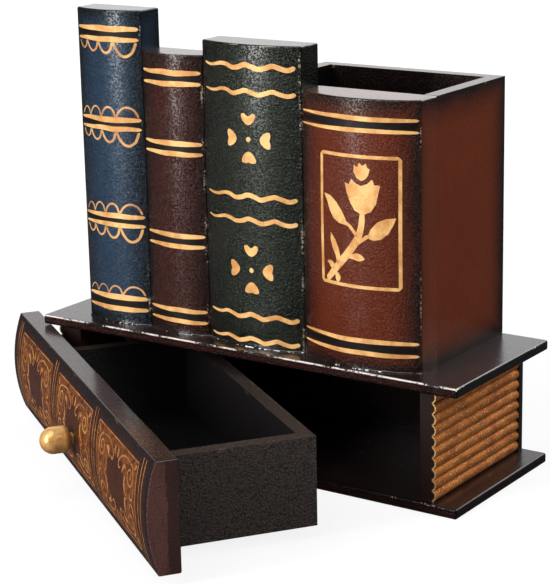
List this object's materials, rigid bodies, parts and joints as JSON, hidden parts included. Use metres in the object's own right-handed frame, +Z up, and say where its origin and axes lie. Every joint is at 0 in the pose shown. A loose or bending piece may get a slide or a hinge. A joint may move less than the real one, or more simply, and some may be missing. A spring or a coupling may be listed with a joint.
{
  "type": "pen stand with drawer",
  "caption": "Desk pen stand shaped like upright old books on a lying book, with an open pen box behind and a small drawer that swings out of the base.",
  "frame": {"origin": "centre of the underside of the lying book's lower cover", "axes": "+X to the right along the covers, +Y to the rear, +Z up; the drawer opens towards -Y"},
  "size_m": [0.2122, 0.1767, 0.1725],
  "materials": {
    "cover_lacquer": "glossy dark brown lacquer",
    "page_gilt": "satin gilt paint",
    "blue_lacquer": "glossy navy lacquer with gilt bands",
    "maroon_lacquer": "glossy maroon lacquer with gilt bands",
    "green_lacquer": "glossy green-black lacquer with gilt lines",
    "red_lacquer": "glossy red-brown lacquer with a gilt frame",
    "pen_box_lacquer": "glossy red-brown lacquer, dark edges",
    "front_lacquer": "glossy dark brown lacquer with gilt frames",
    "drawer_paint": "black hammered paint",
    "bare_wood": "plain beech",
    "knob_brass": "polished",
    "steel": "plain"
  },
  "bodies": {
    "stand": {"bottom_cover": "cover_lacquer", "top_cover": "cover_lacquer", "left_page_block": "page_gilt", "right_page_block": "page_gilt", "back_board": "cover_lacquer", "bottom_brads": "steel", "top_dowels": "bare_wood", "blue_spine": "blue_lacquer", "maroon_spine": "maroon_lacquer", "green_spine": "green_lacquer", "red_spine": "red_lacquer", "spine_screws": "steel", "pen_box_left_wall": "pen_box_lacquer", "pen_box_right_wall": "pen_box_lacquer", "pen_box_rear_wall": "pen_box_lacquer", "pen_box_brads": "steel", "pivot_pin": "steel", "lower_pivot_washer": "steel", "upper_pivot_washer": "steel"},
    "drawer": {"drawer_front": "front_lacquer", "drawer_bottom": "drawer_paint", "drawer_left_side": "drawer_paint", "drawer_right_side": "drawer_paint", "drawer_back": "drawer_paint", "drawer_box_front": "drawer_paint", "drawer_bottom_brads": "steel", "pivot_block": "bare_wood", "pivot_block_screws": "steel", "front_panel_screws": "steel", "drawer_knob": "knob_brass", "knob_screw": "steel"}
  },
  "joints": [
    {"name": "drawer_swing", "type": "hinge", "parent": "stand", "child": "drawer", "pos_m": [-0.079, -0.00575, 0], "axis": [0, 0, 1], "range_deg": [-1.5, 35.5]}
  ]
}
